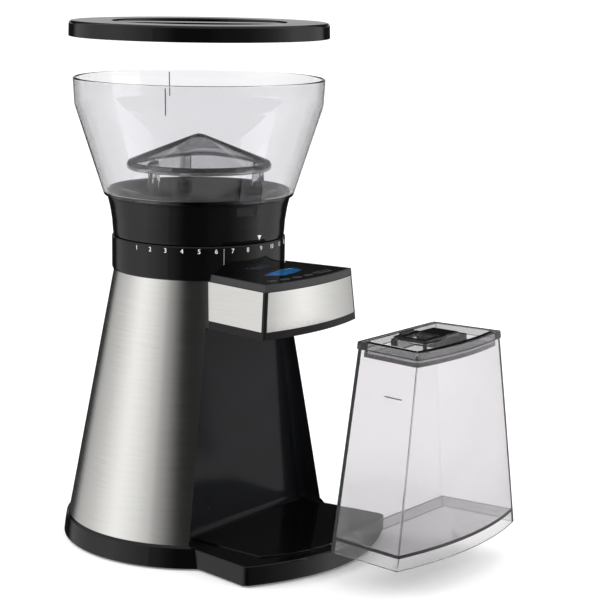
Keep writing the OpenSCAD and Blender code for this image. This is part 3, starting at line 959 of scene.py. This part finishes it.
# %% The space of the bay
bay_w_low = 86.0
bay_w_high = 54.0
bay_lean = math.degrees(math.atan((bay_w_low - bay_w_high) / (head_low - base_top)))
bay_floor = plate_top
bay_back_y = -46.0
far = 300


def bay_block(grow, z0):
    """The space of the bay, its three walls and roof moved outwards by grow."""
    block = cube_block((-200, -far, z0), (200, bay_back_y + grow, head_low + grow))
    return between_walls(block, bay_w_low + grow, 0, base_top, bay_lean, 0)


print("the bay's walls lean in by", round(bay_lean, 1), "degrees")

# %% [markdown]
# The round foot is spun and the plate is joined to it. The bay's floor and the recess for the bottom
# cover are cut out of the two together, and so is the socket of the cord inlet at the back.

# %% Base moulding
foot_height = low("base_shell")
base_r = high("base_shell", 0)
base = turned(
    [
        (0, foot_height), (base_r, foot_height, 0.8), (base_r - 0.9, foot_height + 8, 30.0),
        (base_r - 2.2, base_top - 1.8, 1.5), (base_r - 4.0, base_top, 1.2), (0, base_top),
    ],
    steps=180,
)
plate = slab(plate_plan(0), foot_height, plate_top)
soften(plate, 1.3, 3)
cut_with(base, plate, "UNION")
cut_with(base, bay_block(0, bay_floor))
recess_top = foot_height + 2.2
cut_with(base, slab(plate_plan(2), 0, recess_top))
cut_with(base, cone_block(base_r - 2, base_r - 2, 0, recess_top))
inlet_height = 10.5
socket = cone_block(5.1, 5.1, 100, 125, steps=48)
shift(socket, Matrix.Translation((0, 0, inlet_height * MM)) @ Matrix.Rotation(-math.pi / 2, 4, "X"))
cut_with(base, socket)
done(base, "base_moulding", "machine", gloss_black, "gloss_black", "base_shell")

# %% [markdown]
# On the plate lies a thin raised tray, where the chamber stands, with its own bright edge. Two small studs
# stand near its back edge.

# %% Raised tray with its studs
tray_half = 67
tray_top = high("bay_tray")
tray = cone_block(110, 110, bay_floor - 0.4, tray_top, centre_y=-36.5, steps=240)
trim(tray, (tray_half, 0, 0), (1, 0, 0))
trim(tray, (-tray_half, 0, 0), (-1, 0, 0))
trim(tray, (0, -52, 0), (0, 1, 0))
soften(tray, 0.45, 3, 50)
for x in (-30, 30):
    stud = cone_block(1.6, 1.5, bay_floor, tray_top + 0.35, steps=24)
    soften(stud, 0.3, 2, 50)
    shift(stud, Matrix.Translation(Vector((x, -68, 0)) * MM))
    cut_with(tray, stud, "UNION")
done(tray, "bay_tray_moulding", "machine", gloss_black, "gloss_black", "bay_tray")

# %% [markdown]
# ## Steel body and its bay
# The body is one sheet rolled into a cone, with the bay cut out of its front. The cut edge is a full
# millimetre thick and slightly broken, so it catches the light against the dark liner.
# Two more openings hide behind the head: one for its wires and one for the grounds chute.

# %% Steel cone
sheet_t = 1
chute_low, chute_high = (-13.5, -86.5, 180), (13.5, -60, 205)
sheet = turned(
    [
        (body_r_low - sheet_t, base_top), (body_r_low, base_top), (body_r_high, body_top),
        (body_r_high - sheet_t, body_top),
    ],
    steps=240,
)
cut_with(sheet, bay_block(0, base_top - 1))
cut_with(sheet, cube_block((-34, -150, 196), (34, -40, 225)))
cut_with(sheet, cube_block(chute_low, chute_high))
soften(sheet, 0.42, 2, 50)
done(sheet, "steel_cone", "machine", brushed_steel, "brushed_steel", "body_shell")

# %% [markdown]
# The liner is a deep moulding that closes the bay's back and sides inside the cone. Moulded corners are
# never sharp, so its corners and its foot are rounded. A small hole low at the left lets the chamber
# press the plunger of its switch.

# %% Bay liner
liner_t = 2.5
liner_top = head_low + 3
liner = bay_block(liner_t, bay_floor)
core = cone_block(cone_radius(bay_floor) - 1.2, cone_radius(liner_top) - 1.2, bay_floor, liner_top)
cut_with(liner, core, "INTERSECT")
hollow = bay_block(0, bay_floor)
soften(hollow, 5.5, 6, 60)
cut_with(liner, hollow)
cut_with(liner, cube_block(chute_low, chute_high))
pin_hole = cone_block(2.1, 2.1, -60, 60, steps=32)
shift(pin_hole, Matrix.Translation(Vector((-37, 0, 35.4)) * MM) @ Matrix.Rotation(math.pi / 2, 4, "X"))
cut_with(liner, pin_hole)
done(liner, "bay_liner_moulding", "machine", charcoal, "satin_black", "bay_liner")

# %% [markdown]
# ## Head
# The head is a black frame with two side panels and a bowed front panel of brushed sheet let into it,
# flush with its corner posts. The walls lean in and the front is bowed. A black bezel closes the top.
# Each part is cut from the same blank, moved inwards by its own step, so all seams stay parallel.

# %% The head's blank
front_centre = 88.5


def front_radius(height):
    """The bowed front's radius at a height, in mm."""
    return 216.3 - 3.5 * (height - head_low) / (head_top - head_low)


def head_walls(obj, inset):
    """Trims a block by the head's two side walls."""
    return between_walls(obj, 60.3 - inset, -119.2, head_low, 6.4, 7.26)


def head_wedge(inset):
    """All the room between the head's two side walls."""
    return head_walls(cube_block((-150, -200, 190), (150, 0, 240)), inset)


def head_bow(inset, z0, z1):
    """The solid inside the bowed front."""
    return cone_block(front_radius(z0) - inset, front_radius(z1) - inset, z0, z1, front_centre, steps=360)


def fit_to_body(obj, z0, z1):
    """Cuts the room of the steel cone and of the scale ring out of a piece of the head."""
    cut_with(obj, cone_block(cone_radius(z0 - 2) + 0.05, cone_radius(z1 + 2) + 0.05, z0 - 2, z1 + 2))
    if z1 > body_top:
        cut_with(obj, cone_block(72, 72, body_top - 0.5, z1 + 5, steps=180))
    return obj


def head_block(inset, z0, z1, corner=0.0):
    """The head's outer form, reaching back into the body, with its upright corners rounded."""
    over = 8.0 if corner else 0.0
    block = trim(head_walls(head_bow(inset, z0 - over, z1 + over), inset), (0, -40, 0), (0, 1, 0))
    if corner:
        soften(block, corner, 4, 40)
        trim(block, (0, 0, z0), (0, 0, -1))
        trim(block, (0, 0, z1), (0, 0, 1))
    return block


def head_blank(inset, z0, z1):
    """The head's outer form in front of the steel cone."""
    return fit_to_body(head_block(inset, z0, z1), z0, z1)


print("the head's front has a radius of", round(front_radius(head_low), 1), "mm at its underside")

# %% [markdown]
# The frame is seen as a floor with a soft lower edge, two corner posts and, behind the panels, a plain
# inner wall that carries them. The three are closed solids of their own, stacked without a gap.

# %% The head's frame
rim_top = 195.5
band_low = 226.8
post_r = 2.6
rim = head_block(0, head_low, rim_top, post_r)
soften(rim, 0.9, 3, 40)
cut_with(rim, cube_block(chute_low, chute_high))
fit_to_body(rim, head_low, rim_top)
done(rim, "head_floor", "machine", satin_black, "satin_black", "head_frame")

core = head_block(1.1, rim_top - 0.4, band_low)
cut_with(core, head_block(3.6, rim_top - 3, band_low + 3))
fit_to_body(core, rim_top - 3, band_low)
done(core, "head_wall", "machine", satin_black, "satin_black")

posts = head_block(0, rim_top - 0.4, band_low - 0.01, post_r)
cut_with(posts, head_bow(2.5, rim_top - 2, band_low + 2))
cut_with(posts, head_wedge(2.3))
done(posts, "head_posts", "machine", satin_black, "satin_black")

# %% [markdown]
# The panels are brushed sheet. A side panel is what lies outside the inner wall and behind the corner
# post, and the front panel is what lies between the posts. Fine gaps all round show them as separate
# pieces.

# %% Head panels
panel_low, panel_high = 195.7, 226.4
for side, sign in (("left", -1), ("right", 1)):
    panel = head_blank(0, panel_low, panel_high)
    cut_with(panel, head_bow(2.8, 190, 232), "INTERSECT")
    trim(panel, (0, 0, 0), (-sign, 0, 0))
    cut_with(panel, head_wedge(1))
    soften(panel, 0.22, 2, 50)
    done(panel, f"head_panel_{side}", "machine", brushed_steel, "brushed_steel", f"side_panel_{side}")

panel = head_blank(0, panel_low, panel_high)
cut_with(panel, head_wedge(2.6), "INTERSECT")
cut_with(panel, head_bow(1, 190, 232))
soften(panel, 0.22, 2, 50)
done(panel, "head_panel_front", "machine", brushed_steel, "brushed_steel", "front_panel")

# %% [markdown]
# ## Control surface
# The bezel is a grained band with a well in its top. The polished control surface lies in the well, a
# little lower than the band's edge, with close-fitting holes for the display window and the keys.

# %% Bezel band and control surface
band = head_blank(0, band_low, head_top - 0.1)
soften(band, 1.5, 4, 40)
cut_with(band, head_blank(2.2, band_low + 1.5, head_top + 3))
done(band, "bezel_band", "machine", bezel_black, "satin_black")

# the window's plan is a lens shape; each key has its place across, its width and its depth
window = [(-22, -86.2), (-6, -81.0), (12, -78.4), (26.4, -80.6), (24.5, -91.2), (8, -96.0), (-9, -97.6)]
key_places = {f"key_{i + 1}": (x, 9.0, 5.0) for i, x in enumerate((-37, -23, -9, 5))}
key_places["start_key"] = (25, 20.0, 6.0)


def key_y(x):
    """The keys' row follows the bowed front."""
    return -111.5 + 0.0023 * x * x


def pad(x, width, depth, z0, z1, grow=0.0):
    """A block round a key's place, grown on its four sides."""
    half_w, half_d = width / 2 + grow, depth / 2 + grow
    return cube_block((x - half_w, key_y(x) - half_d, z0), (x + half_w, key_y(x) + half_d, z1))


surface_top = head_top - 0.45
surface = head_blank(2.25, band_low + 1.6, surface_top)
cut_with(surface, slab(window, 225, 240))
for x, width, depth in key_places.values():
    cut_with(surface, pad(x, width, depth, 220, 240, 0.3))
soften(surface, 0.25, 2, 50)
done(surface, "control_surface", "machine", gloss_black, "gloss_black", "console")

# %% [markdown]
# The display window is a clear lens let into the surface, a hair smaller than its hole, with the lit
# panel under it.

# %% Display window
glass = slab([(x * 0.99, -88 + (y + 88) * 0.99) for x, y in window], 230.8, surface_top - 0.1)
soften(glass, 0.15, 1, 50)
done(glass, "display_window", "machine", lens_blue, "display_blue", "display_lens")

# %% [markdown]
# The keys are polished pads that stand a third of a millimetre proud of the surface. A fine printed
# outline on each shows where to press, and it rides with its key.

# %% Keys
for name, (x, width, depth) in key_places.items():
    cap = pad(x, width, depth, 226, surface_top + 0.35)
    soften(cap, 0.35, 3, 50)
    node = "start_button" if name == "start_key" else "button_" + name[-1]
    done(cap, f"{name}_pad", name, gloss_black, "satin_black", node)
    outline = pad(x, width, depth, surface_top + 0.2, surface_top + 0.4, -0.55)
    cut_with(outline, pad(x, width, depth, surface_top - 1, surface_top + 2, -0.95))
    done(outline, f"{name}_outline", name, key_ink, "satin_black")

# %% [markdown]
# ## Grounds chamber
# The chamber is a clear box with a bowed front and leaning walls, rounded at its upright corners. It is
# drawn as it stands in the bay, because it has to fit there, and is then moved out to where it rests.

# %% The chamber's blank
dock = 19.0
chamber_h = 164.0
chamber_top = dock + chamber_h
chamber_half = 84.0
chamber_wall_y = -115
chamber_lean, chamber_flare = 9.2, 5.1
out_of_bay = Matrix.Translation(Vector((36, -126, 8)) * MM)


def chamber_bow(height):
    """The chamber's bowed front: its radius at a height, in mm."""
    return 300.0 - 10.2 * (height - dock) / chamber_h


def chamber_blank(inset, z0, z1, corner):
    """The chamber's form, standing in the bay, with its upright corners rounded."""
    z_low, z_high = z0 - 12.0, z1 + 12.0
    blank = cone_block(chamber_bow(z_low) - inset, chamber_bow(z_high) - inset, z_low, z_high, 173.0)
    between_walls(blank, chamber_half - inset, chamber_wall_y, dock, chamber_lean, chamber_flare)
    up = math.radians(1.4)
    trim(blank, (0, -48 - inset, dock), (0, math.cos(up), math.sin(up)))
    soften(blank, corner, 5, 40)
    trim(blank, (0, 0, z0), (0, 0, -1))
    return trim(blank, (0, 0, z1), (0, 0, 1))


print("the chamber's top stands at", chamber_top, "mm in the bay")

# %% [markdown]
# It stands on an open skirt, so its real floor is a centimetre above its foot. All of it is true wall,
# two and a half millimetres thick, because the dark lines along the edges of clear plastic come from
# looking along a wall.

# %% Chamber body
clear_t = 2.5
rim_height = chamber_top - 6.0
chamber = chamber_blank(0, dock, rim_height, 5.0)
hollow = chamber_blank(clear_t, dock + 11.5, rim_height + 5, 2.5)
soften(hollow, 1.8, 3, 60)
cut_with(chamber, hollow)
cut_with(chamber, chamber_blank(clear_t, dock - 5, dock + 9, 2.5))
soften(chamber, 0.4, 2, 60)
shift(chamber, out_of_bay)
done(chamber, "chamber_moulding", "chamber", smoke_plastic, "smoked_clear", "chamber_body")

# %% [markdown]
# The lid is a deep dish of darker smoke. Its rim stands on the chamber and sticks out a little; its wall
# plugs the chamber; its floor hangs a centimetre low, and a block stands up from it to the shutter. The
# lid and its shutter are kept out of mirror reflections, so that the machine's panels stay clean.

# %% Chamber lid
cover = chamber_blank(-0.8, chamber_top - 5.9, chamber_top, 5.6)
soften(cover, 0.9, 3, 60)
plug = chamber_blank(3.9, chamber_top - 12, chamber_top - 5, 2.0)
cut_with(cover, plug, "UNION")
dish = chamber_blank(5.9, chamber_top - 9.4, chamber_top + 4, 2.0)
soften(dish, 1.0, 3, 60)
cut_with(cover, dish)
throat_block = cube_block((-17, -91, chamber_top - 11), (41, -57, chamber_top - 2.6))
soften(throat_block, 0.6, 2, 50)
cut_with(cover, throat_block, "UNION")
# heights well past both faces, for holes cut right through
through = (160, 190)
cut_with(cover, cube_block((-12, -86, through[0]), (12, -62, through[1])))
shift(cover, out_of_bay)
cover.visible_glossy = False
done(cover, "chamber_lid_moulding", "chamber_cover", dark_smoke, "smoked_clear", "chamber_lid")

# %% [markdown]
# The shutter is a black frame round the inlet with a wing at its right. It slides sideways on the block,
# so that its open middle leaves the inlet free or the wing closes it, and a small tab at its back is
# there for a finger.

# %% Inlet shutter
shutter_floor = chamber_top - 2.5
gate = cube_block((-15, -89, shutter_floor), (15, -59, shutter_floor + 2))
wing = cube_block((14, -86, shutter_floor), (36, -62, shutter_floor + 1.6))
soften(wing, 0.4, 2, 50)
cut_with(gate, wing, "UNION")
cut_with(gate, cube_block((-11, -85, through[0]), (11, -67, through[1])))
tab = cube_block((-9, -62, shutter_floor + 1.5), (9, -59.5, shutter_floor + 4.4))
soften(tab, 0.6, 2, 50)
cut_with(gate, tab, "UNION")
soften(gate, 0.25, 2, 60)
shift(gate, out_of_bay)
gate.visible_glossy = False
done(gate, "inlet_gate", "shutter", gloss_black, "gloss_black", "inlet_shutter")

# %% [markdown]
# The fill mark is a short stroke moulded on the left wall and filled with dark ink, a quarter of a
# millimetre proud of it. It is turned to lean and flare as the wall does.

# %% Fill mark
mark_height = 146.0
mark_y = -92.0
lean, flare = math.radians(chamber_lean), math.radians(chamber_flare)
mark = cube_block((-0.15, -8.5, -0.45), (0.15, 8.5, 0.45))
soften(mark, 0.1, 1)
wall_x = chamber_half - (mark_height - dock) * math.tan(lean) / math.cos(flare)
wall_x += (chamber_wall_y - mark_y) * math.tan(flare)
on_wall = Matrix.Translation(Vector((-wall_x - 0.1, mark_y, mark_height)) * MM)
face = Matrix.Rotation(-flare, 4, "Z") @ Matrix.Rotation(lean, 4, "Y")
shift(mark, out_of_bay @ on_wall @ face)
done(mark, "fill_mark", "chamber", fill_ink, "satin_black")
